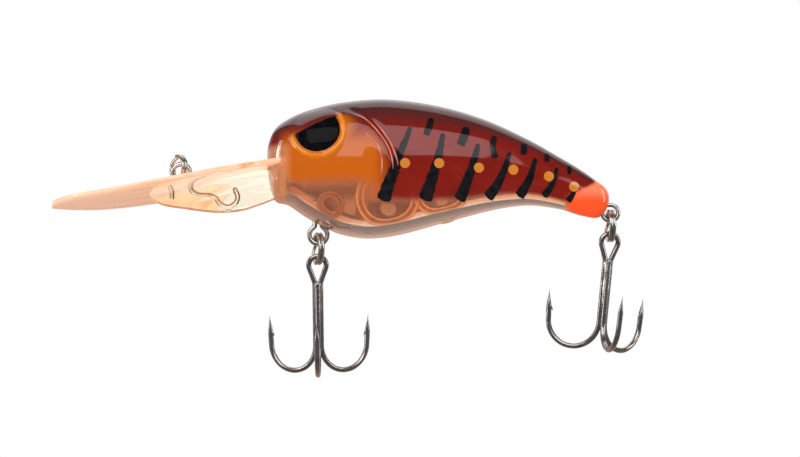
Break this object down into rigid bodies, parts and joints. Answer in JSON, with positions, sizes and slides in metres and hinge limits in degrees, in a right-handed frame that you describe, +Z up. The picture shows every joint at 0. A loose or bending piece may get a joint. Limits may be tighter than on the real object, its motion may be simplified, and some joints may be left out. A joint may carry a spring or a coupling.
{
  "type": "crankbait lure",
  "caption": "Deep-diving crankbait: clear two-part fish body with rattle chambers, long paddle lip, line-tie ring and treble hooks on split rings.",
  "frame": {"origin": "centre of the line tie's wire arch, on the parting plane of the body", "axes": "+X from the nose to the tail, +Y from the fish's left side to its right side, +Z up from belly to back"},
  "size_m": [0.1036, 0.0242, 0.0488],
  "materials": {
    "body_shell": "tinted clear plastic, painted and lacquered",
    "lip": "tinted clear polycarbonate",
    "wire_nickel": "bright nickel-plated stainless wire",
    "ring_nickel": "bright nickel-plated spring wire",
    "hook_steel": "black nickel",
    "eye": "gloss black",
    "ball_steel": "polished steel"
  },
  "bodies": {
    "body": {"left_body_shell": "body_shell", "right_body_shell": "body_shell", "diving_lip": "lip", "line_tie_wire": "wire_nickel", "belly_hanger": "wire_nickel", "tail_hanger": "wire_nickel", "left_eye": "eye", "right_eye": "eye"},
    "line_tie_ring": {"line_tie_split_ring": "ring_nickel"},
    "belly_ring": {"belly_split_ring": "ring_nickel"},
    "belly_treble": {"belly_double_hook": "hook_steel", "belly_single_hook": "hook_steel"},
    "tail_ring": {"tail_split_ring": "ring_nickel"},
    "tail_treble": {"tail_double_hook": "hook_steel", "tail_single_hook": "hook_steel"},
    "large_ball": {"large_rattle_ball": "ball_steel"},
    "small_ball": {"small_rattle_ball": "ball_steel"}
  },
  "joints": [
    {"name": "line_tie_ring_flip", "type": "hinge", "parent": "body", "child": "line_tie_ring", "pos_m": [0, 0, 0.0015], "axis": [0.866, 0.5, 0], "range_deg": [0, 236]},
    {"name": "belly_ring_swing", "type": "hinge", "parent": "body", "child": "belly_ring", "pos_m": [0.024, 0, -0.01255], "axis": [0.9703, 0.2419, 0], "range_deg": [-80, 50]},
    {"name": "belly_treble_swing", "type": "hinge", "parent": "belly_ring", "child": "belly_treble", "pos_m": [0.02383, 0.00069, -0.01592], "axis": [-0.2366, 0.9491, 0.2079], "range_deg": [-56, 60]},
    {"name": "tail_ring_swing", "type": "hinge", "parent": "body", "child": "tail_ring", "pos_m": [0.0749, 0, -0.0085], "axis": [0.9903, 0.1392, 0], "range_deg": [-66, 50]},
    {"name": "tail_treble_swing", "type": "hinge", "parent": "tail_ring", "child": "tail_treble", "pos_m": [0.07483, 0.00048, -0.01194], "axis": [-0.1378, 0.9806, 0.1392], "range_deg": [-100, 50]},
    {"name": "large_ball_rattle", "type": "slide", "parent": "body", "child": "large_ball", "axis": [0, 1, 0], "range_m": [-0.0011, 0.0011]},
    {"name": "small_ball_rattle", "type": "slide", "parent": "body", "child": "small_ball", "axis": [0, 1, 0], "range_m": [-0.0005, 0.0005]}
  ]
}
